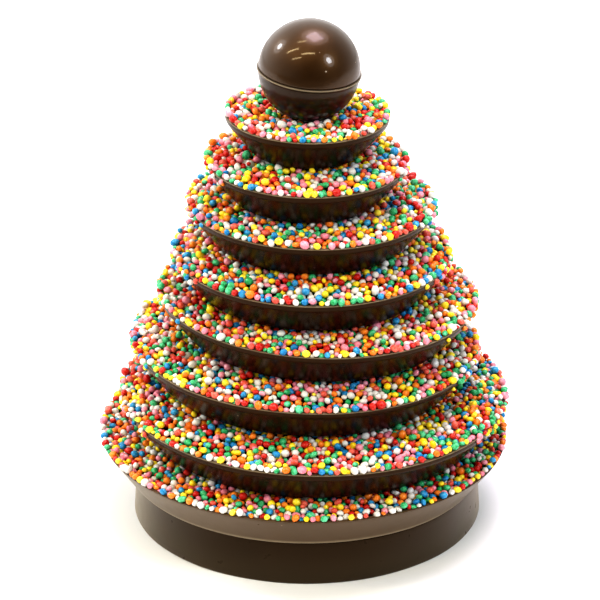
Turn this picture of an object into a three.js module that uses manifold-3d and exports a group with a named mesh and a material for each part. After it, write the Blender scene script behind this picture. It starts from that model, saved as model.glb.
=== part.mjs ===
// A festive chocolate tree. Eight shallow chocolate dishes, each smaller than the one below, are
// stacked on a plain round drum. The open side of every dish faces up and is filled to a low heap of
// round sugar sprinkles, and the next dish stands on that heap. A ball moulded in two halves is the top.
//
// Millimetres, +Z up. The origin is the centre of the drum's flat underside, and -Y is the front.

import * as THREE from "three";
import { mergeVertices } from "three/addons/utils/BufferGeometryUtils.js";
import Module from "manifold-3d";

const wasm = await Module();
wasm.setup();

// ---------------------------------------------------------------- driving dimensions

// The clear space between two pieces where one rests on the other.
const GAP = 0.3;

// The drum under the tiers. Its side draws in a little from the foot to the top.
const DRUM = { footRadius: 48.2, topRadius: 47.4, height: 12.4, round: 0.7 };

// Every dish has the same section, whatever its radius: a flat foot with a round edge, a wall that
// leans out to the rim, and an upright lip.
const DISH = { depth: 10.3, overhang: 7.4, footRound: 1.5, lip: 1.5, lipRound: 0.35 };

// The tiers from the top down: radius of the rim, height of the rim plane, where the middle of the
// rim lies, and how many degrees the right side hangs down. They are stacked by hand, so none is
// quite central or level.
const TIERS = [
  { radius: 22.1, height: 117.1, x: 0.0, y: -0.4, lean: 1.4 },
  { radius: 27.2, height: 104.0, x: -0.1, y: -0.9, lean: 1.1 },
  { radius: 33.6, height: 91.0, x: 1.1, y: 1.3, lean: 1.1 },
  { radius: 37.8, height: 77.1, x: 1.2, y: 0.0, lean: 1.0 },
  { radius: 43.4, height: 64.0, x: 3.0, y: 1.6, lean: 2.2 },
  { radius: 47.6, height: 50.0, x: -0.5, y: 1.3, lean: 2.3 },
  { radius: 53.1, height: 35.9, x: 1.9, y: -1.6, lean: 0.8 },
  { radius: 56.3, height: 23.0, x: -0.9, y: 0.0, lean: 0.8 },
];

// The ball: height is that of its middle, and its front hangs down by nod degrees. Where the halves
// meet, the lower one has a small lip.
const BALL = { radius: 13.7, height: 129.9, x: 0.6, y: -1.3, lean: 5, nod: 3 };
const SEAM = { lipOut: 0.35, lipHeight: 0.8 };

// The heap of sprinkles in a dish starts this far inside the rim, and reaches this far past the foot
// of the dish above, or past the line where the ball dips into it.
const HEAP = { rimMargin: 0.8, seatMargin: 1.0, rimHeight: 0.15, ballSeatRadius: 7.9, crown: 1.8 };

// The sprinkles that are modelled one by one: the largest, as radii, spread over all the heaps.
// Their middles lie just under the bare heap, by this share of the radius.
const SPRINKLES = { count: 236, largest: 1.45, smallest: 1.15, squash: 0.2, sunk: 0.1, seed: 41 };

// How far a flat facet may cut inside the round that it stands for, and how far joining may shift it.
const CHORD_ERROR = 0.2;
const JOIN_ERROR = 0.04;

// The turn from one seed to the next that spreads points evenly over a disc.
const GOLDEN_ANGLE = Math.PI * (3 - Math.sqrt(5));

// ---------------------------------------------------------------- materials

const darkChocolate = new THREE.MeshStandardMaterial({
  name: "dark chocolate",
  color: 0x2a1811,
  roughness: 0.28,
  metalness: 0,
});

const ballChocolate = new THREE.MeshStandardMaterial({
  name: "polished chocolate",
  color: 0x3a2018,
  roughness: 0.15,
  metalness: 0,
});

// ---------------------------------------------------------------- general shapes

// Enough facets round a circle to stay within the chord error.
function facetsFor(radius) {
  return Math.ceil(Math.PI / Math.acos(1 - CHORD_ERROR / radius));
}

// Turns an outline of [radius, height] points about +Z. It starts and ends on the axis, going up the
// outside, so that the faces point out.
function turned(outline, facets) {
  const points = outline.map(([radius, height]) => new THREE.Vector2(radius, height));
  return new THREE.LatheGeometry(points, facets).rotateX(Math.PI / 2);
}

// Moves every vertex of a geometry by a rule that changes a Vector3 in place.
function reshaped(geometry, move) {
  const position = geometry.getAttribute("position");
  const point = new THREE.Vector3();
  for (let i = 0; i < position.count; i++) {
    point.fromBufferAttribute(position, i);
    move(point);
    position.setXYZ(i, point.x, point.y, point.z);
  }
  return geometry;
}

// A closed geometry as a solid that can be joined to others.
function solidFrom(geometry) {
  const bare = new THREE.BufferGeometry();
  bare.setAttribute("position", geometry.getAttribute("position"));
  bare.setIndex(geometry.index);
  const merged = mergeVertices(bare, 1e-3);
  const shape = new wasm.Mesh({
    numProp: 3,
    vertProperties: merged.attributes.position.array,
    triVerts: new Uint32Array(merged.index.array),
  });
  return new wasm.Manifold(shape);
}

// The solid back as a geometry.
function geometryFrom(solid) {
  const { vertProperties, triVerts } = solid.getMesh();
  const geometry = new THREE.BufferGeometry();
  geometry.setAttribute("position", new THREE.BufferAttribute(vertProperties, 3));
  geometry.setIndex(new THREE.BufferAttribute(triVerts, 1));
  geometry.computeVertexNormals();
  return geometry;
}

// A repeatable run of numbers from 0 to 1.
function seededRandom(seed) {
  let state = seed;
  return () => {
    state = (Math.imul(state, 1664525) + 1013904223) >>> 0;
    return state / 2 ** 32;
  };
}

// The shortest way from a point to an outline of [radius, height] points turned about +Z.
function distanceToTurned(point, outline) {
  const flat = new THREE.Vector3(Math.hypot(point.x, point.y), point.z, 0);
  const corners = outline.map(([radius, height]) => new THREE.Vector3(radius, height, 0));
  const nearest = new THREE.Vector3();
  const distances = corners.slice(1).map((end, i) => {
    new THREE.Line3(corners[i], end).closestPointToPoint(flat, true, nearest);
    return nearest.distanceTo(flat);
  });
  return Math.min(...distances);
}

// Where a piece stands: its own frame, leaning about the front-to-back axis.
function frameOf({ x, y, height, lean }) {
  return new THREE.Matrix4().makeRotationY(THREE.MathUtils.degToRad(lean)).setPosition(x, y, height);
}

function placed(geometry, material, name, { x, y, height, lean, nod = 0 }) {
  const mesh = new THREE.Mesh(geometry, material);
  mesh.name = name;
  mesh.position.set(x, y, height);
  mesh.rotation.set(THREE.MathUtils.degToRad(nod), THREE.MathUtils.degToRad(lean), 0);
  return mesh;
}

// ---------------------------------------------------------------- the dish and its heap

function footRadius(radius) {
  return radius - DISH.overhang;
}

// The outside of a dish from the middle of its foot to the top of its lip, rim plane at height 0.
function dishOutline(radius) {
  const foot = footRadius(radius);
  const { depth, footRound, lip, lipRound } = DISH;
  return [
    [0, -depth],
    [foot - footRound, -depth],
    [foot, footRound * 0.6 - depth],
    [radius - lipRound, -lip],
    [radius, lipRound - lip],
    [radius, -lipRound],
    [radius - lipRound, 0],
  ];
}

// The heap from the rim inwards: up a rounded slope to the seat, then along the seat to the axis.
function heapOutline(radius, seat) {
  const edge = radius - HEAP.rimMargin;
  const slope = [1, 0.5].map((share) => {
    const rise = (seat.height - HEAP.rimHeight) * (1 - share ** HEAP.crown);
    return [seat.radius + share * (edge - seat.radius), HEAP.rimHeight + rise];
  });
  return [...slope, ...seat.outline];
}

// The flat seat for the foot of the dish above.
function dishSeat(tier, above) {
  const radius = footRadius(above.radius) + HEAP.seatMargin;
  const height = above.height - tier.height - DISH.depth - GAP;
  return { radius, height, outline: [[radius, height], [0, height]] };
}

// The round dip that the ball sits in.
function ballSeat(tier) {
  const middle = BALL.height - tier.height;
  const outline = [1, 0.7, 0.35, 0].map((share) => {
    const radius = share * HEAP.ballSeatRadius;
    return [radius, middle - Math.sqrt((BALL.radius + GAP) ** 2 - radius ** 2)];
  });
  return { radius: HEAP.ballSeatRadius, height: outline[0][1], outline };
}

// Lets the heap follow the piece that stands on it: fully under its seat, and less and less out to
// the rim, so that the seat lies square under a piece that is off centre or leans another way.
function settler(tier, seatRadius, above) {
  const edge = tier.radius - HEAP.rimMargin;
  const follow = frameOf(tier).invert().multiply(frameOf(above));
  follow.multiply(new THREE.Matrix4().makeTranslation(0, 0, tier.height - above.height));
  return (point) => {
    const out = (edge - Math.hypot(point.x, point.y)) / (edge - seatRadius);
    const share = THREE.MathUtils.clamp(out, 0, 1);
    return point.lerp(point.clone().applyMatrix4(follow), share);
  };
}

// ---------------------------------------------------------------- the sprinkles

function ringArea(tier, seat) {
  return Math.PI * (tier.radius ** 2 - seat.radius ** 2);
}

// One sprinkle: an uneven round grain of twenty faces, turned any way.
function sprinkle(middle, radius, random) {
  const grain = new THREE.IcosahedronGeometry(radius, 0);
  const squash = () => 1 - SPRINKLES.squash * random();
  grain.scale(squash(), squash(), squash());
  grain.rotateX(random() * Math.PI).rotateZ(random() * Math.PI);
  return grain.translate(middle.x, middle.y, middle.z);
}

// Sprinkles spread evenly over a heap from its seat to the rim, each half sunk. One that would touch
// the piece above is moved down the slope in small steps until it is clear.
function sprinklesOn(tier, seat, settle, above, count, random) {
  const toAbove = frameOf(above).invert().multiply(frameOf(tier));
  const edge = tier.radius - HEAP.rimMargin;
  const slope = heapOutline(tier.radius, seat).slice(0, 3).reverse();
  const heightAt = (radius) => {
    const band = radius < slope[1][0] ? 0 : 1;
    const share = (radius - slope[band][0]) / (slope[band + 1][0] - slope[band][0]);
    return THREE.MathUtils.lerp(slope[band][1], slope[band + 1][1], share);
  };
  return Array.from({ length: count }, (_, i) => {
    const size = THREE.MathUtils.lerp(SPRINKLES.largest, SPRINKLES.smallest, random());
    const angle = i * GOLDEN_ANGLE;
    const share = (i + random()) / count;
    let radius = Math.sqrt(THREE.MathUtils.lerp(seat.radius ** 2, edge ** 2, share));
    const middle = new THREE.Vector3();
    do {
      const height = heightAt(radius) - SPRINKLES.sunk * size;
      middle.set(radius * Math.cos(angle), radius * Math.sin(angle), height);
      settle(middle);
      radius += GAP;
    } while (distanceToTurned(middle.clone().applyMatrix4(toAbove), above.outline) < size + GAP);
    return sprinkle(middle, size, random);
  });
}

// ---------------------------------------------------------------- the pieces

// The drum's top lies square under the lowest dish, so it leans with it.
function drum(above) {
  const { footRadius: foot, topRadius: top, height, round } = DRUM;
  const outline = [
    [0, 0],
    [foot - round, 0],
    [foot, round],
    [top, height - round],
    [top - round, height],
    [0, height],
  ];
  const central = { x: 0, y: 0, height: above.height, lean: above.lean };
  const follow = frameOf(central).multiply(new THREE.Matrix4().makeTranslation(0, 0, -above.height));
  const geometry = reshaped(turned(outline, facetsFor(foot)), (point) => {
    if (point.z > height / 2) point.applyMatrix4(follow);
  });
  return placed(geometryFrom(solidFrom(geometry)), darkChocolate, "base", { x: 0, y: 0, height: 0, lean: 0 });
}

// A dish with its heap, joined to the sprinkles on it.
function tierMesh(tier, name, seat, above, count, random) {
  const settle = settler(tier, seat.radius, above);
  const outline = [...dishOutline(tier.radius), ...heapOutline(tier.radius, seat)];
  const body = reshaped(turned(outline, facetsFor(tier.radius)), (point) => {
    if (point.z > -DISH.depth / 2) settle(point);
  });
  const grains = sprinklesOn(tier, seat, settle, above, count, random);
  const joined = grains.reduce((solid, grain) => solid.add(solidFrom(grain)), solidFrom(body));
  return placed(geometryFrom(joined.simplify(JOIN_ERROR)), darkChocolate, name, tier);
}

// A quarter circle from the pole to the seam, as [radius, height] points from its middle.
function quarterCircle(radius, seamHeight) {
  const steps = 7;
  const last = Math.acos(seamHeight / radius);
  return Array.from({ length: steps + 1 }, (_, i) => {
    const angle = (last * i) / steps;
    return [radius * Math.sin(angle), radius * Math.cos(angle)];
  });
}

function ballLowerOutline() {
  const { radius } = BALL;
  const { lipOut, lipHeight } = SEAM;
  const shell = quarterCircle(radius, lipHeight).map(([r, h]) => [r, -h]);
  return [...shell, [radius + lipOut, -lipHeight * 0.7], [radius + lipOut, -GAP / 2], [0, -GAP / 2]];
}

function ballUpperOutline() {
  return [[0, GAP / 2], ...quarterCircle(BALL.radius, GAP / 2).reverse()];
}

function ballHalf(outline, name) {
  const geometry = turned(outline, facetsFor(BALL.radius));
  return placed(geometryFrom(solidFrom(geometry)), ballChocolate, name, BALL);
}

// ---------------------------------------------------------------- the tree

// What stands on each tier: the ball on the first, and on the others the dish before it.
const standing = TIERS.map((_, i) => {
  if (i === 0) return { ...BALL, lean: 0, outline: ballLowerOutline() };
  const dish = TIERS[i - 1];
  return { ...dish, outline: dishOutline(dish.radius) };
});
const seats = TIERS.map((tier, i) => (i === 0 ? ballSeat(tier) : dishSeat(tier, standing[i])));
const sprinkledArea = TIERS.reduce((sum, tier, i) => sum + ringArea(tier, seats[i]), 0);
const random = seededRandom(SPRINKLES.seed);

const tree = new THREE.Group();
tree.name = "chocolate tree";
tree.add(drum(TIERS[TIERS.length - 1]));
TIERS.forEach((tier, i) => {
  const count = Math.round((SPRINKLES.count * ringArea(tier, seats[i])) / sprinkledArea);
  tree.add(tierMesh(tier, `tier_${i + 1}`, seats[i], standing[i], count, random));
});
tree.add(ballHalf(ballLowerOutline(), "ball_lower"));
tree.add(ballHalf(ballUpperOutline(), "ball_upper"));

export default tree;
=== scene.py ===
"""A festive chocolate tree: dishes of sugar sprinkles stacked on a round drum, and a ball on top.

Shapes are worked out in millimetres, with +Z up, -Y to the front and the origin under the middle
of the drum, and become meshes in metres. Each piece takes the place of the plain solid of the
same part.
"""

import math
from collections import namedtuple

import bpy
import numpy as np
from mathutils import Matrix, Vector


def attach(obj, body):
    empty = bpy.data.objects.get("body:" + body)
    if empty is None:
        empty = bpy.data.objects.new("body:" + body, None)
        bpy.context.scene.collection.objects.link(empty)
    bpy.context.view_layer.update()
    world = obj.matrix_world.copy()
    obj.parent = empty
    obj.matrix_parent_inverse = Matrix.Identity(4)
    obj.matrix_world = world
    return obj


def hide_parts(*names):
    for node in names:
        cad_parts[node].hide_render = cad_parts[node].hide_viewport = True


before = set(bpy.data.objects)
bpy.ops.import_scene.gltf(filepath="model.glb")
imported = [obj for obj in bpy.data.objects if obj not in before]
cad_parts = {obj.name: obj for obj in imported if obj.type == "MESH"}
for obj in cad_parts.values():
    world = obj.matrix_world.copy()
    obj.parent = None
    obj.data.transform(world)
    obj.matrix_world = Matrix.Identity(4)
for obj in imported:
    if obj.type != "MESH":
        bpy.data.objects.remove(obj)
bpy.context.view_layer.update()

MM = 0.001  # metres in a millimetre

# ---------------------------------------------------------------- sizes, in millimetres and degrees

# A dish: radius of the rim, height of the rim plane, where the middle of the rim lies, how far the
# right side hangs down, how much of the sprinkles spills over the rim at the sides and back, and
# how far the front nods down.
Tier = namedtuple("Tier", "radius height x y lean spill nod", defaults=(0, 0))
TIERS = [
    Tier(22.1, 117.1, 0.0, -0.4, 1.4, 0.0),
    Tier(27.2, 104.0, -0.1, -0.9, 1.1, 0.6),
    Tier(33.6, 91.0, 1.1, 1.3, 1.1, 0.8),
    Tier(37.8, 77.1, 1.2, 0.0, 1.0, 1.0),
    Tier(43.4, 64.0, 3.0, 1.6, 2.2, 1.0),
    Tier(47.6, 50.0, -0.5, 1.3, 2.3, 1.0),
    Tier(53.1, 35.9, 1.9, -1.6, 0.8, 0.8),
    Tier(56.3, 23.0, -0.9, 0.0, 0.8, 0.0),
]
DISH_DEPTH = 10.3  # from the rim plane down to the foot
DISH_OVERHANG = 7.4  # how far the rim stands out past the foot
LIP_HEIGHT = 1.5  # the upright band under the rim
LIP_DRAFT = 0.15  # how much narrower that band is at its lower end
LIP_WIDTH = 1.1  # the flat top of the rim, which the outermost sprinkles lie on
RIM_STEP_WIDTH, RIM_STEP_DEPTH = 0.3, 0.7  # the slope from that flat top down to the bed
FOOT_ROUND, WALL_ROUND, RIM_ROUND, RIM_INNER_ROUND = 0.8, 2.4, 0.25, 0.2  # the dish's fillets
BED_LOWEST, BED_MARGIN = -1.0, 0.01  # what tells the bed's points from the wall's
BED_GAP = 0.1  # from the bed that the sprinkles keep to down to the chocolate

BALL = Tier(13.7, 129.9, 0.6, -1.3, 5.0, nod=3.0)  # height is that of the ball's middle
BALL_SEAM = 0.03  # from the plane of the seam to either half
BALL_LIP_WIDTH = 0.35  # how far the lower half's lip stands out
BALL_LIP_DEPTH = 0.5  # how far it reaches down from the seam
BALL_LIP_START = 0.65  # where it runs out into the ball, down from the seam
BALL_LIP_ROUND = 0.1
BALL_STEPS = 40  # points along each half's quarter circle
BALL_SEAT_RADIUS = 7.9  # where the sprinkles meet the ball
BALL_SEAT_RISE = 1.3  # and how far that line is above the highest rim plane

DRUM_FOOT_RADIUS = 48.2
DRUM_FOOT = Tier(DRUM_FOOT_RADIUS, 0.0, 0.0, 0.0, 0.0)  # level on the floor
DRUM_TOP_RADIUS = 47.4
DRUM_HEIGHT = 12.4
DRUM_FOOT_ROUND, DRUM_TOP_ROUND = 0.5, 0.7

AROUND = 192  # points round every turned surface
FILLET_STEPS = 6  # steps along each fillet of an outline
LONGEST_STEP = 1.2  # and the longest straight step of an outline
SEED = 20


# ---------------------------------------------------------------- meshes from arrays

def mesh_object(name, points, triangles, material):
    """A smooth-shaded mesh from an (n, 3) array in millimetres and an (m, 3) array of corners."""
    mesh = bpy.data.meshes.new(name)
    mesh.vertices.add(len(points))
    mesh.vertices.foreach_set("co", (points * MM).astype(np.float32).ravel())
    mesh.loops.add(triangles.size)
    mesh.loops.foreach_set("vertex_index", triangles.astype(np.int32).ravel())
    mesh.polygons.add(len(triangles))
    mesh.polygons.foreach_set("loop_start", np.arange(0, triangles.size, 3, dtype=np.int32))
    mesh.polygons.foreach_set("use_smooth", np.ones(len(triangles), dtype=bool))
    mesh.materials.append(material)
    mesh.update(calc_edges=True)
    mesh.validate()
    made = bpy.data.objects.new(name, mesh)
    bpy.context.scene.collection.objects.link(made)
    return made


def closed_grid(rings, columns):
    """Triangles over a closed surface: a pole point, rings of columns points each, a pole point.

    Each cell between two rings is split along a diagonal, and each pole is a fan. They face out
    where the rings climb and the columns run anticlockwise seen from above.
    """
    here = np.arange(columns)
    after = (here + 1) % columns
    start = 1 + columns * np.arange(rings - 1)[:, None]
    low, low_after = start + here, start + after
    high, high_after = low + columns, low_after + columns
    last = 1 + columns * (rings - 1)
    parts = [
        np.stack([np.zeros_like(here), 1 + after, 1 + here], 1),
        np.stack([low, low_after, high_after], 2).reshape(-1, 3),
        np.stack([low, high_after, high], 2).reshape(-1, 3),
        np.stack([last + here, last + after, np.full_like(here, last + columns)], 1),
    ]
    return np.concatenate(parts)


def turned(outline):
    """Points and triangles of an outline of (radius, height) rows turned about +Z.

    x = radius cos(angle), y = radius sin(angle), z = height. The outline starts and ends on the
    axis.
    """
    angle = np.arange(AROUND) * 2 * math.pi / AROUND
    around = np.stack([np.cos(angle), np.sin(angle)], 1)
    rings = outline[1:-1]
    flat = rings[:, None, :1] * around[None]
    heights = np.broadcast_to(rings[:, None, 1:], flat.shape[:2] + (1,))
    body = np.concatenate([flat, heights], 2).reshape(-1, 3)
    low_pole, high_pole = [[0, 0, outline[0, 1]]], [[0, 0, outline[-1, 1]]]
    return np.concatenate([low_pole, body, high_pole]), closed_grid(len(rings), AROUND)


def rounded(corners):
    """An outline through (radius, height, fillet) corners, with each fillet as an arc.

    The arc starts and ends where it touches the two sides, fillet * tan(turn / 2) from the corner,
    and runs as the turn between those sides is shared out over the steps.
    """
    corners = np.asarray(corners, float)
    path = [corners[0, :2]]
    for before, corner, after in zip(corners, corners[1:], corners[2:]):
        point, fillet = corner[:2], corner[2]
        if fillet == 0:
            path.append(point)
            continue
        way_in = (point - before[:2]) / np.linalg.norm(point - before[:2])
        way_out = (after[:2] - point) / np.linalg.norm(after[:2] - point)
        turn = math.atan2(way_in[0] * way_out[1] - way_in[1] * way_out[0], way_in @ way_out)
        side = math.copysign(1, turn)
        first = point - way_in * fillet * math.tan(abs(turn) / 2)
        centre = first + side * fillet * np.array([-way_in[1], way_in[0]])
        spoke = first - centre
        for angle in np.linspace(0, turn, FILLET_STEPS + 1):
            c, s = math.cos(angle), math.sin(angle)
            path.append(centre + (c * spoke[0] - s * spoke[1], s * spoke[0] + c * spoke[1]))
    path.append(corners[-1, :2])
    return np.array(path)


def refined(outline):
    """The outline with extra points, so that no step of it is longer than the longest step."""
    parts = []
    for start, end in zip(outline, outline[1:]):
        count = max(1, math.ceil(np.linalg.norm(end - start) / LONGEST_STEP))
        parts.append(start + (end - start) * np.arange(count)[:, None] / count)
    return np.concatenate([*parts, outline[-1:]])


# ---------------------------------------------------------------- places

def leaning(lean, nod=0):
    """The turn that lowers the right side by lean degrees, and then the front by nod degrees."""
    c, s = math.cos(math.radians(lean)), math.sin(math.radians(lean))
    across = np.array([[c, 0, s], [0, 1, 0], [-s, 0, c]])
    c, s = math.cos(math.radians(nod)), math.sin(math.radians(nod))
    return np.array([[1, 0, 0], [0, c, -s], [0, s, c]]) @ across


def placed(points, piece):
    """Points of a piece's own frame in the part's frame."""
    return points @ leaning(piece.lean, piece.nod).T + (piece.x, piece.y, piece.height)


def seen_from(points, piece):
    """Points of the part's frame in a piece's own frame."""
    return (points - (piece.x, piece.y, piece.height)) @ leaning(piece.lean, piece.nod)


# ---------------------------------------------------------------- what stands on each heap

class DishAbove:
    """The dish that stands on a heap: half planes for its foot, its foot's round and its wall."""

    ROUND_HEIGHT = 0.9  # where the foot's round ends and the wall starts, over the foot
    ROUND_WAY = 30.0  # the way the round faces, in degrees out from straight down
    ROUND_INSET, ROUND_RISE = 1.0, 0.2  # a point of it, in from the foot's edge and over the foot

    def __init__(self, tier, dish):
        self.tier, self.dish = tier, dish
        self.foot_radius = dish.radius - DISH_OVERHANG
        self.turn = leaning(tier.lean).T @ leaning(dish.lean)
        wall_foot = np.array([self.foot_radius, self.ROUND_HEIGHT - DISH_DEPTH])
        wall_rim = np.array([dish.radius, -LIP_HEIGHT])
        slope = (wall_rim - wall_foot) / np.linalg.norm(wall_rim - wall_foot)
        way = math.radians(self.ROUND_WAY)
        facing = [math.sin(way), -math.cos(way)]
        self.normals = np.array([[0, -1], facing, [slope[1], -slope[0]]])
        on_round = [self.foot_radius - self.ROUND_INSET, self.ROUND_RISE - DISH_DEPTH]
        touching = np.array([[0, -DISH_DEPTH], on_round, wall_foot])
        self.offsets = (self.normals * touching).sum(1)

    def from_axis(self, points):
        """How far points of the tier's frame are from the axis of what stands there."""
        there = seen_from(placed(points, self.tier), self.dish)
        return np.hypot(there[:, 0], there[:, 1])

    def foot_height(self, x, y):
        """The height of the foot's plane over (x, y), in the tier's frame."""
        middle = seen_from(placed(np.array([[0, 0, -DISH_DEPTH]]), self.dish), self.tier)[0]
        up = self.turn[:, 2]
        return middle[2] - (up[0] * (x - middle[0]) + up[1] * (y - middle[1])) / up[2]

    def clearance(self, points):
        """How far points are outside the dish, and the way out, both in the tier's frame."""
        there = seen_from(placed(points, self.tier), self.dish)
        radius = np.maximum(np.hypot(there[:, 0], there[:, 1]), 1e-6)
        section = np.stack([radius, there[:, 2]], 1)
        distances = section @ self.normals.T - self.offsets
        normal = self.normals[distances.argmax(1)]
        outward = np.stack([normal[:, 0] * there[:, 0] / radius,
                            normal[:, 0] * there[:, 1] / radius, normal[:, 1]], 1)
        return distances.max(1), outward @ self.turn.T


class BallAbove:
    """The ball that sits in the highest heap."""

    def __init__(self, tier):
        self.tier = tier
        self.foot_radius = BALL_SEAT_RADIUS
        self.middle = seen_from(np.array([[BALL.x, BALL.y, BALL.height]]), tier)[0]

    def from_axis(self, points):
        """How far points of the tier's frame are from the ball's axis."""
        return np.hypot(points[:, 0] - self.middle[0], points[:, 1] - self.middle[1])

    def foot_height(self, x, y):
        """The height over (x, y) of the plane where the sprinkles meet the ball.

        It is level in the part's frame, so in the tier's frame it climbs along x alone.
        """
        return BALL_SEAT_RISE + math.tan(math.radians(self.tier.lean)) * x

    def clearance(self, points):
        """How far points are outside the ball, and the way out."""
        away = points - self.middle
        distance = np.linalg.norm(away, axis=1)
        return distance - BALL.radius, away / distance[:, None]


# ---------------------------------------------------------------- the heap of sprinkles

HEAP_EDGE = 0.5  # the heap's slope starts this far inside the rim
HEAP_RIM_TOP = 1.0  # the heap's outside over the rim plane at the edge
HEAP_CROWN = 1.7  # how round the slope is: 1 is straight
LAYER_AT_RIM = 2.0  # how thick the heap is at the edge
LAYER_AT_FOOT = 3.0  # and at the foot of what stands on it
HIDDEN_WIDTH = 3.2  # how far sprinkles reach in under a foot

GRAIN_RADIUS, GRAIN_SPREAD = 0.93, 0.15  # the mean radius of a sprinkle, and how much it varies
GRAIN_LEAST, GRAIN_MOST = 0.6, 1.3
TOP_LAYER, LOWER_LAYER = 0.86, 0.14  # the share of the ground that each layer of sprinkles covers
GOLDEN_ANGLE = math.pi * (3 - math.sqrt(5))
SCATTER = 0.35  # how far sprinkles start from their even spots, in mean radii
START_INSET = 0.2  # how far inside the rim the outermost ones start
START_DEPTH = 0.9  # how deep inside the heap's outside the top ones start, in own radii
START_CHANGE = 0.12  # and how much that varies

SETTLING_STEPS = 70
PAIRS_EVERY = 5  # steps from one search for neighbours to the next
PAIRS_REACH = 0.6  # and the widest gap between neighbours
PACKED = 0.98  # sprinkles are apart at this share of their radii together
GIVING_WAY = 0.42  # the share of an overlap that each of the two moves by
SINKING = 0.03  # how far sprinkles sink in the first step, and less and less after it
CLEAR_GAP = 0.05  # from a sprinkle to what stands on the heap
RESTING = 0.75  # how high a sprinkle's middle stays over the ground, in its own radii
EDGE_INSET, EDGE_CHANGE, EDGE_SPILL = 0.75, 0.3, 0.3  # how far inside the rim the middles stay

STUCK_PER_MM = 0.8  # sprinkles stuck to the outside of the rim, along its length
STUCK_SIZE = 0.85  # their mean radius, in mean radii
STUCK_REACH = 0.2  # how far their middles are off the rim, inwards or outwards, in own radii
STUCK_LOWEST, STUCK_HIGHEST = -1.7, 0.5  # and up from the rim plane
SIDES_FROM, SIDES_FADE = 0.62, 0.24  # the cosine of the angle where the front ends, and its fade


def heap_heights(points, above):
    """The bed under the sprinkles and the outside of the heap, over each (x, y).

    share is 0 at the rim and 1 at the foot of what stands there, by the distances to both. The
    outside climbs from the rim to the foot's plane as 1 - (1 - share) ^ crown, and the bed is a
    layer below it.
    """
    inside = above.tier.radius - HEAP_EDGE - np.hypot(points[:, 0], points[:, 1])
    outside = np.maximum(above.from_axis(points) - above.foot_radius, 0)
    share = np.clip(inside / np.maximum(inside + outside, 1e-6), 0, 1)
    foot = above.foot_height(points[:, 0], points[:, 1])
    top = HEAP_RIM_TOP + (foot - HEAP_RIM_TOP) * (1 - (1 - share) ** HEAP_CROWN)
    return top - LAYER_AT_RIM - (LAYER_AT_FOOT - LAYER_AT_RIM) * share, top


def scattered(radius, cover, rng):
    """Level spots spread evenly over a disc, so that sprinkles on them would cover a share of it.

    The k-th of n is at radius * sqrt(k / n) and k golden angles round, and then moves a little at
    random.
    """
    count = int(cover * (radius / GRAIN_RADIUS) ** 2)
    k = np.arange(count) + 0.5
    angle = k * GOLDEN_ANGLE + rng.random() * 2 * math.pi
    way = np.stack([np.cos(angle), np.sin(angle), 0 * k], 1)
    spots = radius * np.sqrt(k / count)[:, None] * way
    return spots + rng.normal(0, SCATTER * GRAIN_RADIUS, spots.shape) * (1, 1, 0)


def drawn_radii(mean, count, rng):
    """Radii of sprinkles, drawn about a mean and kept between the least and the most."""
    return np.clip(rng.normal(mean, GRAIN_SPREAD, count), GRAIN_LEAST, GRAIN_MOST)


def touching_pairs(centres, radii, reach):
    """Index pairs of the sprinkles whose surfaces are nearer than reach."""
    squares = (centres ** 2).sum(1)
    apart = squares[:, None] + squares[None] - 2 * centres @ centres.T
    limit = (radii[:, None] + radii[None] + reach) ** 2
    return np.nonzero(np.triu(apart < limit, 1))


def pushed_apart(centres, radii, pairs):
    """Centres after each overlapping pair has moved apart by a share of its overlap."""
    first, second = pairs
    between = centres[first] - centres[second]
    distance = np.maximum(np.linalg.norm(between, axis=1), 1e-6)
    overlap = np.maximum(PACKED * (radii[first] + radii[second]) - distance, 0)
    push = between * (GIVING_WAY * overlap / distance)[:, None]
    moved = centres.copy()
    for axis in range(3):
        moved[:, axis] += np.bincount(first, push[:, axis], len(centres))
        moved[:, axis] -= np.bincount(second, push[:, axis], len(centres))
    return moved


def sideways(points):
    """0 at the front of a tier, and 1 at its sides and back, where sprinkles hang over the rim."""
    front = -points[:, 1] / np.maximum(np.hypot(points[:, 0], points[:, 1]), 1e-6)
    return np.clip((SIDES_FROM - front) / SIDES_FADE, 0, 1)


def stuck_grains(tier, rng):
    """Sprinkles stuck to the outside of the rim, most of them at the sides and back."""
    count = int(STUCK_PER_MM * 2 * math.pi * tier.radius)
    angle = rng.random(count) * 2 * math.pi
    radii = drawn_radii(STUCK_SIZE * GRAIN_RADIUS, count, rng)
    reach = tier.radius + radii * rng.uniform(-STUCK_REACH, STUCK_REACH, count)
    spots = np.stack([reach * np.cos(angle), reach * np.sin(angle),
                      rng.uniform(STUCK_LOWEST, STUCK_HIGHEST, count)], 1)
    kept = rng.random(count) < tier.spill * sideways(spots)
    return spots[kept], radii[kept]


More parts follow.
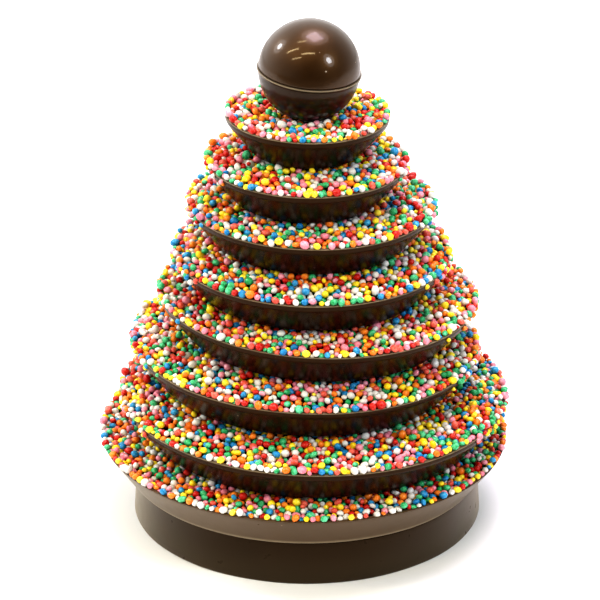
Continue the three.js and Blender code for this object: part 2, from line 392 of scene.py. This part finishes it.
def settled_heap(tier, above, rng):
    """Centres and radii of the sprinkles in one dish, in the dish's frame.

    A thin lower layer lies on the bed and a full one along the heap's outside. In each step they
    sink a little, are pushed apart where they overlap, and are kept above the bed and the rim's
    flat top, near the rim and clear of what stands on them. Those stuck to the rim's outside stay
    where they are.
    """
    inner = max(above.foot_radius - HIDDEN_WIDTH, 0)
    layers = []
    for cover, on_bed in ((TOP_LAYER, False), (LOWER_LAYER, True)):
        spots = scattered(tier.radius - START_INSET, cover, rng)
        spots = spots[above.from_axis(spots) > inner]
        radii = drawn_radii(GRAIN_RADIUS, len(spots), rng)
        bed, top = heap_heights(spots, above)
        if on_bed:
            spots[:, 2] = bed + radii
        else:
            spots[:, 2] = top - START_DEPTH * radii + rng.normal(0, START_CHANGE, len(spots))
        layers.append((spots, radii))
    layers.append(stuck_grains(tier, rng))
    centres = np.concatenate([spots for spots, _ in layers])
    radii = np.concatenate([radii for _, radii in layers])
    loose = np.arange(len(centres)) < len(centres) - len(layers[-1][0])
    limit = (tier.radius - EDGE_INSET + EDGE_CHANGE * rng.random(len(centres))
             + EDGE_SPILL * tier.spill * sideways(centres))
    for step in range(SETTLING_STEPS):
        if step % PAIRS_EVERY == 0:
            pairs = touching_pairs(centres, radii, PAIRS_REACH)
        moved = pushed_apart(centres, radii, pairs)
        moved[:, 2] -= SINKING * (1 - step / SETTLING_STEPS)
        outside, way_out = above.clearance(moved)
        moved += way_out * np.maximum(radii + CLEAR_GAP - outside, 0)[:, None]
        reach = np.hypot(moved[:, 0], moved[:, 1])
        moved[:, :2] *= np.minimum(limit / np.maximum(reach, 1e-6), 1)[:, None]
        ground = np.where(reach > tier.radius - LIP_WIDTH, 0, heap_heights(moved, above)[0])
        moved[:, 2] = np.maximum(moved[:, 2], ground + RESTING * radii)
        centres = np.where(loose[:, None], moved, centres)
    return centres, radii


# ---------------------------------------------------------------- the shape of a sprinkle

GRAIN_RINGS, GRAIN_COLUMNS = 4, 7
GRAIN_TILT = 0.6  # how far sprinkles lie tilted, in radians, about 35 degrees
LUMPS = 0.06  # how high their lumps are, in radii
DIMPLED = 0.3  # the share of them that has a dimple
DIMPLE_DEPTHS = (0.1, 0.25)
DIMPLE_WIDTH = 0.3
LENGTHS, WIDTHS, HEIGHTS = (1.0, 1.2), (0.92, 1.06), (0.76, 1.0)  # in radii, least and most


def lying_turns(count, rng):
    """Rotation matrices of a random turn about +Z after a tilt about a random level side.

    By Rodrigues' formula the tilt about the unit axis (a, b, 0) is I + sin K + (1 - cos) K K.
    """
    tilt = rng.normal(0, GRAIN_TILT, count)
    side, turn = rng.uniform(0, 2 * math.pi, (2, count))
    a, b, none = np.cos(side), np.sin(side), np.zeros(count)
    cross = np.array([[none, none, b], [none, none, -a], [-b, a, none]]).transpose(2, 0, 1)
    tilted = (np.eye(3) + np.sin(tilt)[:, None, None] * cross
              + (1 - np.cos(tilt))[:, None, None] * cross @ cross)
    c, s, one = np.cos(turn), np.sin(turn), np.ones(count)
    about = np.array([[c, -s, none], [s, c, none], [none, none, one]]).transpose(2, 0, 1)
    return about @ tilted


def grain_meshes(centres, radii, rng):
    """Points and triangles of many sprinkles in one mesh.

    Each is a sphere on a grid of latitude and longitude. Its radius gets smooth lumps, of products
    and powers of x, y and z, and some get a dimple at the top, exp(-((1 - z) / width)^2). Then it
    is made longer one way and flatter another, tilted, turned and set on its centre.
    """
    latitude = math.pi * (np.arange(GRAIN_RINGS) + 1) / (GRAIN_RINGS + 1)
    longitude = 2 * math.pi * np.arange(GRAIN_COLUMNS) / GRAIN_COLUMNS
    ring = np.sin(latitude)[:, None]
    body = np.stack([ring * np.cos(longitude), ring * np.sin(longitude),
                     -np.cos(latitude)[:, None] + 0 * longitude], 2).reshape(-1, 3)
    unit = np.concatenate([[[0, 0, -1]], body, [[0, 0, 1]]])
    count = len(centres)
    x, y, z = unit.T
    patterns = np.stack([x * y, y * z, -z * x, x ** 3, y ** 3 - y, x ** 2 - y ** 2])
    dimple = np.where(rng.random(count) < DIMPLED, rng.uniform(*DIMPLE_DEPTHS, count), 0)
    shape = 1 + rng.normal(0, LUMPS, (count, len(patterns))) @ patterns
    shape -= dimple[:, None] * np.exp(-((1 - z) / DIMPLE_WIDTH) ** 2)
    stretch = np.stack([rng.uniform(*span, count) for span in (LENGTHS, WIDTHS, HEIGHTS)], 1)
    shapes = unit[None] * shape[:, :, None] * stretch[:, None]
    shapes = np.einsum("nij,nkj->nki", lying_turns(count, rng), shapes)
    points = shapes * radii[:, None, None] + centres[:, None, :]
    one = closed_grid(GRAIN_RINGS, GRAIN_COLUMNS)
    triangles = one[None] + (len(unit) * np.arange(count))[:, None, None]
    return points.reshape(-1, 3), triangles.reshape(-1, 3)


# ---------------------------------------------------------------- materials

def add_node(tree, kind, inputs=None, **settings):
    """A shader node with its settings, and its inputs by name or number.

    Each input is a value or another node's output.
    """
    node = tree.nodes.new(kind)
    for key, value in settings.items():
        setattr(node, key, value)
    for key, value in (inputs or {}).items():
        if isinstance(value, bpy.types.NodeSocket):
            tree.links.new(value, node.inputs[key])
        else:
            node.inputs[key].default_value = value
    return node


def calculated(tree, operation, *values):
    """The result of an operation on numbers, each a value or another node's output."""
    numbered = dict(enumerate(values))
    return add_node(tree, "ShaderNodeMath", numbered, operation=operation).outputs[0]


def blended(tree, share, first, second):
    """The colour between two colours, from the first at share 0 to the second at share 1."""
    return add_node(tree, "ShaderNodeMix", {"Factor": share, 6: first, 7: second},
                    data_type="RGBA").outputs[2]


def new_group(name, inputs, outputs):
    """An empty shader group with (name, kind, value) inputs and (name, kind) outputs."""
    group = bpy.data.node_groups.new(name, "ShaderNodeTree")
    for label, kind, value in inputs:
        socket = group.interface.new_socket(name=label, in_out="INPUT",
                                            socket_type="NodeSocket" + kind)
        socket.default_value = value
    for label, kind in outputs:
        group.interface.new_socket(name=label, in_out="OUTPUT", socket_type="NodeSocket" + kind)
    given = group.nodes.new("NodeGroupInput").outputs
    return group, given, group.nodes.new("NodeGroupOutput").inputs


CRUMB_CORE, CRUMB_EDGE = 0.012, 0.026  # the radii where a crumb starts to fade and ends, in cells
CRUMB_COLOUR = (0.5, 0.38, 0.28, 1)
# the pale colour of painted light: painted highlights along edges, and the paler band at the drum's
# foot
PAINTED_LIGHT_COLOUR = (0.4, 0.33, 0.22, 1)


def cast_chocolate_group():
    """Cast chocolate: broad clouds of tone, a faint ripple in the gloss, and tiny pale crumbs.

    A band of painted light, a pale painted highlight, lies where its way . place = its offset.
    """
    group, given, out = new_group(
        "cast chocolate",
        [("Dark", "Color", (0.02, 0.01, 0.01, 1)), ("Light", "Color", (0.04, 0.02, 0.02, 1)),
         ("Cloud Scale", "Float", 60.0), ("Crumb Scale", "Float", 85.0),
         ("Gloss", "Float", 0.2), ("Gloss Change", "Float", 0.06),
         ("Painted Light Way", "Vector", (0, 0, 1)), ("Painted Light Offset", "Float", -1.0),
         ("Painted Light Width", "Float", 0.0004), ("Painted Light Strength", "Float", 0.0)],
        [("Color", "Color"), ("Roughness", "Float"), ("Height", "Float")])
    place = add_node(group, "ShaderNodeTexCoord").outputs["Object"]
    clouds = add_node(group, "ShaderNodeTexNoise",
                      {"Vector": place, "Scale": given["Cloud Scale"], "Detail": 4.0,
                       "Roughness": 0.55}).outputs["Fac"]
    tone = blended(group, clouds, given["Dark"], given["Light"])
    ripple = add_node(group, "ShaderNodeTexNoise",
                      {"Vector": place, "Scale": 420.0, "Detail": 2.0}).outputs["Fac"]
    cells = add_node(group, "ShaderNodeTexVoronoi",
                     {"Vector": place, "Scale": given["Crumb Scale"]}).outputs["Distance"]
    crumb = add_node(group, "ShaderNodeMapRange",
                     {"Value": cells, "From Min": CRUMB_CORE, "From Max": CRUMB_EDGE,
                      "To Min": 1.0, "To Max": 0.0}).outputs["Result"]
    speckled = blended(group, crumb, tone, CRUMB_COLOUR)
    along = add_node(group, "ShaderNodeVectorMath", {0: place, 1: given["Painted Light Way"]},
                     operation="DOT_PRODUCT").outputs["Value"]
    off_edge = calculated(group, "SUBTRACT", along, given["Painted Light Offset"])
    away = calculated(group, "ABSOLUTE", off_edge)
    painted_light = add_node(group, "ShaderNodeMapRange",
                      {"Value": away, "From Max": given["Painted Light Width"],
                       "To Min": given["Painted Light Strength"], "To Max": 0.0},
                      interpolation_type="SMOOTHSTEP").outputs["Result"]
    group.links.new(blended(group, painted_light, speckled, PAINTED_LIGHT_COLOUR), out["Color"])
    shift = calculated(group, "MULTIPLY", ripple, given["Gloss Change"])
    group.links.new(calculated(group, "ADD", given["Gloss"], shift), out["Roughness"])
    group.links.new(calculated(group, "ADD", clouds, crumb), out["Height"])
    return group


def sugar_shell_group():
    """A sugar sprinkle's shell: its colour drifts from grain to grain and is finely mottled."""
    group, given, out = new_group(
        "sugar shell",
        [("Color", "Color", (0.8, 0.1, 0.1, 1)), ("Pale", "Color", (0.9, 0.5, 0.5, 1))],
        [("Color", "Color"), ("Roughness", "Float"), ("Height", "Float")])
    place = add_node(group, "ShaderNodeTexCoord").outputs["Object"]
    drift = add_node(group, "ShaderNodeTexNoise",
                     {"Vector": place, "Scale": 330.0, "Detail": 1.0}).outputs["Fac"]
    mottle = add_node(group, "ShaderNodeTexNoise",
                      {"Vector": place, "Scale": 1700.0, "Detail": 3.0}).outputs["Fac"]
    both = calculated(group, "MULTIPLY", drift, mottle)
    share = add_node(group, "ShaderNodeMapRange",
                     {"Value": both, "From Min": 0.16, "From Max": 0.42}).outputs["Result"]
    group.links.new(blended(group, share, given["Color"], given["Pale"]), out["Color"])
    rough = add_node(group, "ShaderNodeMapRange",
                     {"Value": mottle, "To Min": 0.17, "To Max": 0.36}).outputs["Result"]
    group.links.new(rough, out["Roughness"])
    group.links.new(mottle, out["Height"])
    return group


def finished_material(name, group, inputs, sockets, bump, bump_distance):
    """A Principled surface whose colour, roughness and bump come from a shader group.

    inputs are the group's values, and sockets are the shader's own plain values, by name.
    """
    material = bpy.data.materials.new(name)
    material.use_nodes = True
    tree = material.node_tree
    shader = tree.nodes["Principled BSDF"]
    surface = tree.nodes.new("ShaderNodeGroup")
    surface.node_tree = group
    for key, value in inputs.items():
        surface.inputs[key].default_value = value
    tree.links.new(surface.outputs["Color"], shader.inputs["Base Color"])
    tree.links.new(surface.outputs["Roughness"], shader.inputs["Roughness"])
    relief = add_node(tree, "ShaderNodeBump", {"Strength": bump, "Distance": bump_distance,
                                               "Height": surface.outputs["Height"]})
    tree.links.new(relief.outputs["Normal"], shader.inputs["Normal"])
    for key, value in sockets.items():
        shader.inputs[key].default_value = value
    return material


def rgb(red, green, blue):
    """A colour given as it shows on screen, from 0 to 255, as the linear colour of shaders."""
    shown = np.array([red, green, blue]) / 255
    linear = np.where(shown <= 0.04045, shown / 12.92, ((shown + 0.055) / 1.055) ** 2.4)
    return (*linear.tolist(), 1.0)


cast_chocolate = cast_chocolate_group()
sugar_shell = sugar_shell_group()


def chocolate(name, dark, light, surface, sockets, bump=0.05):
    """Cast chocolate that drifts between a dark and a light tone."""
    return finished_material(name, cast_chocolate, {"Dark": dark, "Light": light, **surface},
                             sockets, bump, bump_distance=0.0002)


def painted_light_ring(piece, height, width, strength):
    """The inputs of a level ring of painted light at a height in a piece's own frame."""
    way = leaning(piece.lean, piece.nod)[:, 2]
    offset = (way @ (piece.x, piece.y, piece.height) + height) * MM
    return {"Painted Light Way": tuple(way), "Painted Light Offset": offset, "Painted Light Width": width * MM,
            "Painted Light Strength": strength}


def bloom(weight):
    """The sockets of the pale bloom that dulls plain chocolate."""
    return {"Sheen Weight": weight, "Sheen Roughness": 0.4, "Sheen Tint": rgb(255, 238, 210)}


WARM = rgb(255, 214, 172)  # the tint of the gloss on dark chocolate


def dish_chocolate(number, tier):
    """The chocolate of a dish, with a painted highlight along its rim."""
    return chocolate(
        f"dish chocolate {number}", rgb(36, 21, 9), rgb(50, 31, 15),
        {"Cloud Scale": 70.0, "Gloss": 0.2, "Gloss Change": 0.1,
         # a painted highlight: a thin pale line just under the top of the rim
         **painted_light_ring(tier, -0.12, width=0.25, strength=0.5)},
        {"IOR": 1.3, "Specular Tint": WARM})


dish_chocolates = [dish_chocolate(number, tier) for number, tier in enumerate(TIERS[:-1], 1)]
# Paler than the other dishes' chocolate, with a painted highlight, a pale band, along the dish's
# foot.
lowest_chocolate = chocolate(
    "lowest dish chocolate", rgb(73, 57, 40), rgb(90, 72, 53),
    {"Cloud Scale": 50.0, "Gloss": 0.25, "Gloss Change": 0.1,
     **painted_light_ring(TIERS[-1], 0.5 - DISH_DEPTH, width=1.0, strength=0.5)},
    {"IOR": 1.62, "Specular Tint": rgb(182, 151, 120), **bloom(0.1)})
# Paler towards its foot through a wide band of painted light, standing in for the shade the lowest
# dish casts on its top.
drum_chocolate = chocolate(
    "drum chocolate", rgb(18, 11, 5), rgb(36, 25, 13),
    {"Cloud Scale": 45.0, "Gloss": 0.24, "Gloss Change": 0.12,
     **painted_light_ring(DRUM_FOOT, 0.0, width=11.0, strength=0.05)},
    {"IOR": 1.7, "Specular Tint": rgb(152, 124, 93), **bloom(0.6)})
ball_chocolate = chocolate(
    "ball chocolate", rgb(36, 21, 7), rgb(49, 30, 11),
    {"Cloud Scale": 90.0, "Crumb Scale": 200.0, "Gloss": 0.38, "Gloss Change": 0.08},
    {"IOR": 1.54, "Specular Tint": rgb(255, 200, 140), "Coat Weight": 0.75,
     "Coat Roughness": 0.08, "Coat IOR": 1.4}, bump=0.04)
# Darker than the upper half's chocolate, as painted shade on the half that faces down, with a
# painted highlight along the lip at the seam.
ball_foot_shaded_chocolate = chocolate(
    "ball foot chocolate with painted shade", rgb(24, 13, 6), rgb(34, 20, 11),
    {"Cloud Scale": 90.0, "Gloss": 0.3, "Gloss Change": 0.08,
     **painted_light_ring(BALL, -0.2, width=0.32, strength=0.6)},
    {"IOR": 1.38, "Specular Tint": WARM, "Coat Weight": 0.4, "Coat Roughness": 0.12,
     "Coat IOR": 1.4}, bump=0.04)

# Each kind of sprinkle: its share of the heap, its colour and the paler tone that it drifts to.
Sugar = namedtuple("Sugar", "share colour pale")
SUGARS = {
    "red": Sugar(0.09, rgb(186, 30, 22), rgb(205, 56, 44)),
    "coral": Sugar(0.08, rgb(211, 85, 68), rgb(230, 125, 106)),
    "orange": Sugar(0.15, rgb(230, 123, 34), rgb(241, 152, 60)),
    "yellow": Sugar(0.16, rgb(245, 212, 36), rgb(250, 230, 88)),
    "green": Sugar(0.15, rgb(42, 158, 92), rgb(112, 212, 162)),
    "blue": Sugar(0.09, rgb(20, 122, 176), rgb(84, 178, 216)),
    "pink": Sugar(0.12, rgb(228, 132, 149), rgb(238, 174, 183)),
    "white": Sugar(0.24, rgb(216, 211, 202), rgb(229, 226, 219)),
}


# ---------------------------------------------------------------- the pieces

DISH_WAVE, DRUM_WAVE, BALL_WAVE = 0.07, 0.1, 0.03  # how far each is from being round


def hand_finish(points, amount, seed):
    """Moves points in and out from the axis by a slow wave, as a cast piece is never quite round.

    The wave is the sum over n of sin(n angle + phase + tilt height) / sqrt(n), times the amount.
    """
    rng = np.random.default_rng(seed)
    angle = np.arctan2(points[:, 1], points[:, 0])
    wave = np.zeros(len(points))
    for turns in (2, 3, 5, 8, 13):
        phase, tilt = rng.uniform(0, 2 * math.pi), rng.uniform(-0.15, 0.15)
        wave += np.sin(turns * angle + phase + tilt * points[:, 2]) / math.sqrt(turns)
    factor = 1 + amount * wave / np.maximum(np.hypot(points[:, 0], points[:, 1]), 1)
    moved = points.copy()
    moved[:, :2] *= factor[:, None]
    return moved


def dish(name, node, tier, above, seed, material):
    """A chocolate dish: the outside turned from its rounded section, and the bed under its heap.

    The lowest dish has hardly any upright band under its rim.
    """
    foot = tier.radius - DISH_OVERHANG
    inner = tier.radius - LIP_WIDTH
    lip = LIP_HEIGHT / 3 if tier is TIERS[-1] else LIP_HEIGHT
    outside = rounded([
        (0, -DISH_DEPTH, 0),
        (foot, -DISH_DEPTH, FOOT_ROUND),
        (tier.radius - LIP_DRAFT, -lip, WALL_ROUND),
        (tier.radius, 0, RIM_ROUND),
        (inner, 0, RIM_INNER_ROUND),
        (inner - RIM_STEP_WIDTH, -RIM_STEP_DEPTH, 0),
    ])
    bed = np.array([outside[-1], [0, -RIM_STEP_DEPTH]])
    points, triangles = turned(np.concatenate([refined(outside), refined(bed)[1:]]))
    from_axis = np.hypot(points[:, 0], points[:, 1])
    on_bed = (points[:, 2] > BED_LOWEST) & (from_axis < bed[0, 0] + BED_MARGIN)
    under_heap = heap_heights(points[on_bed], above)[0] - BED_GAP
    points[on_bed, 2] = np.minimum(under_heap, points[on_bed, 2])
    points = hand_finish(points, DISH_WAVE, seed)
    made = mesh_object(name, placed(points, tier), triangles, material)
    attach(made, "root")
    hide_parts(node)


def drum():
    """The drum: a turned section, with its top tipped to lie square under the lowest dish."""
    outline = rounded([
        (0, 0, 0),
        (DRUM_FOOT_RADIUS, 0, DRUM_FOOT_ROUND),
        (DRUM_TOP_RADIUS, DRUM_HEIGHT, DRUM_TOP_ROUND),
        (0, DRUM_HEIGHT, 0),
    ])
    points, triangles = turned(refined(outline))
    rise = np.clip(points[:, 2] / DRUM_HEIGHT, 0, 1)
    points[:, 2] -= rise * math.tan(math.radians(TIERS[-1].lean)) * points[:, 0]
    points = hand_finish(points, DRUM_WAVE, SEED)
    made = mesh_object("drum", points, triangles, drum_chocolate)
    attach(made, "root")
    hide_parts("base")


def ball_half(name, node, upper):
    """Half of the ball: a quarter circle turned about the axis, and a thin lip on the lower half.

    radius = R sin(angle), height = R cos(angle), from the pole to just short of the seam.
    """
    shell_end = BALL_SEAM if upper else BALL_LIP_START
    angle = np.linspace(0, math.acos(shell_end / BALL.radius), BALL_STEPS)
    shell = np.stack([BALL.radius * np.sin(angle), BALL.radius * np.cos(angle)], 1)
    lip = rounded([
        (*shell[-1], 0),
        (BALL.radius + BALL_LIP_WIDTH, BALL_LIP_DEPTH, BALL_LIP_ROUND),
        (BALL.radius + BALL_LIP_WIDTH, BALL_SEAM, BALL_LIP_ROUND),
        (BALL.radius - 1, BALL_SEAM, 0),
    ])[1:]
    outline = np.concatenate([shell] + ([] if upper else [lip]) + [[[0, BALL_SEAM]]])
    outline = outline[::-1] if upper else outline * [1, -1]
    points, triangles = turned(outline)
    points = hand_finish(points, BALL_WAVE, SEED + 1)
    # the lower half takes the darker chocolate of painted shade
    material = ball_chocolate if upper else ball_foot_shaded_chocolate
    made = mesh_object(name, placed(points, BALL), triangles, material)
    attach(made, "root")
    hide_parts(node)


def sprinkles(heaps, rng):
    """One mesh for each colour of sprinkle, spread over all the tiers."""
    centres = np.concatenate([placed(centres, tier) for tier, (centres, _) in zip(TIERS, heaps)])
    radii = np.concatenate([radii for _, radii in heaps])
    shares = np.array([sugar.share for sugar in SUGARS.values()])
    kind = rng.choice(len(SUGARS), len(centres), p=shares / shares.sum())
    for index, (name, sugar) in enumerate(SUGARS.items()):
        mine = kind == index
        material = finished_material("sugar " + name, sugar_shell,
                                     {"Color": sugar.colour, "Pale": sugar.pale}, {"IOR": 1.5},
                                     bump=0.3, bump_distance=0.0001)
        points, triangles = grain_meshes(centres[mine], radii[mine], rng)
        made = mesh_object("sprinkles_" + name, points, triangles, material)
        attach(made, "root")


def build_tree():
    """The drum, the dishes with their sprinkles, and the ball."""
    drum()
    heaps = []
    for index, tier in enumerate(TIERS):
        above = DishAbove(tier, TIERS[index - 1]) if index else BallAbove(tier)
        material = [*dish_chocolates, lowest_chocolate][index]
        dish(f"dish_{index + 1}", f"tier_{index + 1}", tier, above, SEED + index, material)
        heaps.append(settled_heap(tier, above, np.random.default_rng(SEED + 100 + index)))
    sprinkles(heaps, np.random.default_rng(SEED + 200))
    ball_half("ball_lower_half", "ball_lower", upper=False)
    ball_half("ball_upper_half", "ball_upper", upper=True)


# ---------------------------------------------------------------- floor, light and camera

FLOOR_HALF = 3000.0
FLOOR_COLOUR = (0.85, 0.845, 0.825, 1)
FLOOR_DARK_AT, FLOOR_PALE_AT = -0.45, -0.12  # metres along Y
FLOOR_DARKEST = 0.12  # the share of its colour that is left where it is dark

CAMERA_HEIGHT_ANGLE = 24.0  # how far the camera looks down
CAMERA_DISTANCE = 986.0
CAMERA_TARGET = (-1.9, 0.0, 62.2)
LENS, SENSOR = 216.0, 36.0

SURROUND_WAY = (-0.45, 0.89, 0.0)
SURROUND_FROM, SURROUND_TO = -0.8, 0.9  # along that way, where its strength is least and most
SURROUND_LEAST, SURROUND_MOST = 0.05, 1.1
MIRRORED_MORE = 1.15  # how much brighter than it lights the room shows in glossy surfaces

# The lights, as (way from the ball, way of the width, distance, width, height, brightness, colour,
# mirrored, shape). Each soft light has a dimmer, wider one behind it as its glow.
PALE_BLUE = (0.84, 0.91, 1.0)
TUBE_COLOUR = (1.0, 0.84, 0.5)
OVERHEAD = ((0.16, 0.15, 0.98), (0.7, -0.7, 0))
LEFT = ((-0.79, 0.28, 0.55), (0.25, 0.9, 0))
RIGHT = ((0.68, -0.51, 0.53), (0.6, 0.8, 0))
LIGHTS = {
    "overhead": (*OVERHEAD, 870, 320, 340, 5.6, (0.9, 0.8, 1.0), True),
    "overhead halo": (*OVERHEAD, 872, 480, 520, 2.4, (0.86, 0.76, 1.0), True, "ELLIPSE"),
    "overhead glow": (*OVERHEAD, 875, 700, 740, 1.7, (0.98, 0.92, 1.0), True, "ELLIPSE"),
    "front fill": ((-0.35, -0.82, 0.45), (1, 0, 0), 1500, 600, 600, 4.2, PALE_BLUE, False),
    "left fill": ((-0.95, -0.20, 0.22), (0, 1, 0), 1500, 500, 500, 5.8, PALE_BLUE, False),
    "right fill": ((0.85, -0.48, 0.22), (0, 1, 0), 1500, 500, 500, 4.4, PALE_BLUE, False),
    "left": (*LEFT, 1200, 200, 210, 22.0, PALE_BLUE, True, "ELLIPSE"),
    "left glow": (*LEFT, 1205, 500, 540, 2.3, PALE_BLUE, True, "ELLIPSE"),
    "right": (*RIGHT, 1200, 200, 270, 22.0, PALE_BLUE, True, "ELLIPSE"),
    "right glow": (*RIGHT, 1205, 440, 600, 2.8, PALE_BLUE, True, "ELLIPSE"),
    "right low": ((0.61, -0.77, 0.20), (1, 0, 0), 1400, 110, 50, 20.0, (1.0, 0.9, 0.75), True),
    "tube 1": ((-0.23, -0.05, 0.97), (0.97, -0.03, 0.23), 1400, 400, 75, 12.0, TUBE_COLOUR, True),
    "tube 2": ((-0.56, -0.28, 0.78), (0.83, -0.15, 0.54), 1400, 600, 75, 18.0, TUBE_COLOUR, True),
    "tube 3": ((-0.05, -0.56, 0.83), (1.0, -0.01, 0.06), 1400, 700, 75, 18.0, TUBE_COLOUR, True),
    "tube 4": ((-0.47, -0.59, 0.65), (0.88, -0.28, 0.39), 1400, 530, 75, 12.0, TUBE_COLOUR, True),
}


def floor():
    """A wide, plain white floor, of two triangles.

    Well in front of the tree it lights things and shows in their gloss as if it were dark, and
    only the camera sees it pale there too.
    """
    points = np.array([[-1, -1, 0], [1, -1, 0], [1, 1, 0], [-1, 1, 0]]) * FLOOR_HALF
    material = bpy.data.materials.new("floor")
    material.use_nodes = True
    tree = material.node_tree
    shader = tree.nodes["Principled BSDF"]
    place = add_node(tree, "ShaderNodeTexCoord").outputs["Object"]
    back = add_node(tree, "ShaderNodeSeparateXYZ", {"Vector": place}).outputs["Y"]
    fade = add_node(tree, "ShaderNodeMapRange",
                    {"Value": back, "From Min": FLOOR_DARK_AT, "From Max": FLOOR_PALE_AT,
                     "To Min": FLOOR_DARKEST, "To Max": 1.0},
                    interpolation_type="SMOOTHSTEP").outputs["Result"]
    seen = add_node(tree, "ShaderNodeLightPath").outputs["Is Camera Ray"]
    pale = calculated(tree, "MAXIMUM", fade, seen)
    tone = blended(tree, pale, (0.0, 0.0, 0.0, 1), FLOOR_COLOUR)
    tree.links.new(tone, shader.inputs["Base Color"])
    shader.inputs["Roughness"].default_value = 0.6
    made = mesh_object("floor", points, np.array([[0, 1, 2], [0, 2, 3]]), material)


def aimed(thing, place, target, across):
    """Sets an object at a place, looking at a target, with its own x along across.

    The place and the target are in millimetres.
    """
    place, target = Vector(place) * MM, Vector(target) * MM
    back = (place - target).normalized()
    across = Vector(across)
    across = (across - across.dot(back) * back).normalized()
    thing.location = place
    thing.rotation_euler = Matrix((across, back.cross(across), back)).transposed().to_euler()
    bpy.context.scene.collection.objects.link(thing)


def softbox(name, way, across, distance, width, height, brightness, colour, mirrored,
            shape="RECTANGLE"):
    """A flat light seen from the ball along a way, at a distance, looking back at the ball.

    A light of even brightness gives off brightness * pi * area watts. One that isn't mirrored
    lights things without showing in glossy surfaces.
    """
    light = bpy.data.lights.new(name, "AREA")
    light.shape = shape
    light.size, light.size_y = width * MM, height * MM
    area = light.size * light.size_y * (1 if shape == "RECTANGLE" else math.pi / 4)
    light.energy = brightness * math.pi * area
    light.color = colour
    ball = Vector((BALL.x, BALL.y, BALL.height))
    holder = bpy.data.objects.new(name, light)
    holder.visible_glossy = mirrored
    aimed(holder, ball + Vector(way).normalized() * distance, ball, across)


def surround():
    """A white room, brighter towards the back left.

    Its strength follows how far the view's direction goes along the way there.
    """
    world = bpy.data.worlds.new("surround")
    bpy.context.scene.world = world
    world.use_nodes = True
    tree = world.node_tree
    way = add_node(tree, "ShaderNodeTexCoord").outputs["Generated"]
    along = add_node(tree, "ShaderNodeVectorMath", {0: way, 1: SURROUND_WAY},
                     operation="DOT_PRODUCT").outputs["Value"]
    strength = add_node(tree, "ShaderNodeMapRange",
                        {"Value": along, "From Min": SURROUND_FROM, "From Max": SURROUND_TO,
                         "To Min": SURROUND_LEAST, "To Max": SURROUND_MOST}).outputs["Result"]
    glossy = add_node(tree, "ShaderNodeLightPath").outputs["Is Glossy Ray"]
    more = add_node(tree, "ShaderNodeMapRange",
                    {"Value": glossy, "To Min": 1.0, "To Max": MIRRORED_MORE}).outputs["Result"]
    background = tree.nodes["Background"].inputs
    background["Color"].default_value = (1, 1, 1, 1)
    tree.links.new(calculated(tree, "MULTIPLY", strength, more), background["Strength"])


def lighting():
    """The surround, the softboxes and the four tube lights of the room."""
    surround()
    for name, settings in LIGHTS.items():
        softbox(name, *settings)


def camera():
    """The camera, level from side to side, looking down from the front."""
    angle = math.radians(CAMERA_HEIGHT_ANGLE)
    back = np.array([0, -math.cos(angle), math.sin(angle)])
    data = bpy.data.cameras.new("camera")
    data.lens, data.sensor_width = LENS, SENSOR
    data.clip_start, data.clip_end = 0.05, 20
    made = bpy.data.objects.new("camera", data)
    aimed(made, np.array(CAMERA_TARGET) + back * CAMERA_DISTANCE, CAMERA_TARGET, (1, 0, 0))
    bpy.context.scene.camera = made


camera()
build_tree()
floor()
lighting()
bpy.context.scene.view_settings.view_transform = "Standard"
bpy.context.scene.view_settings.look = "High Contrast"
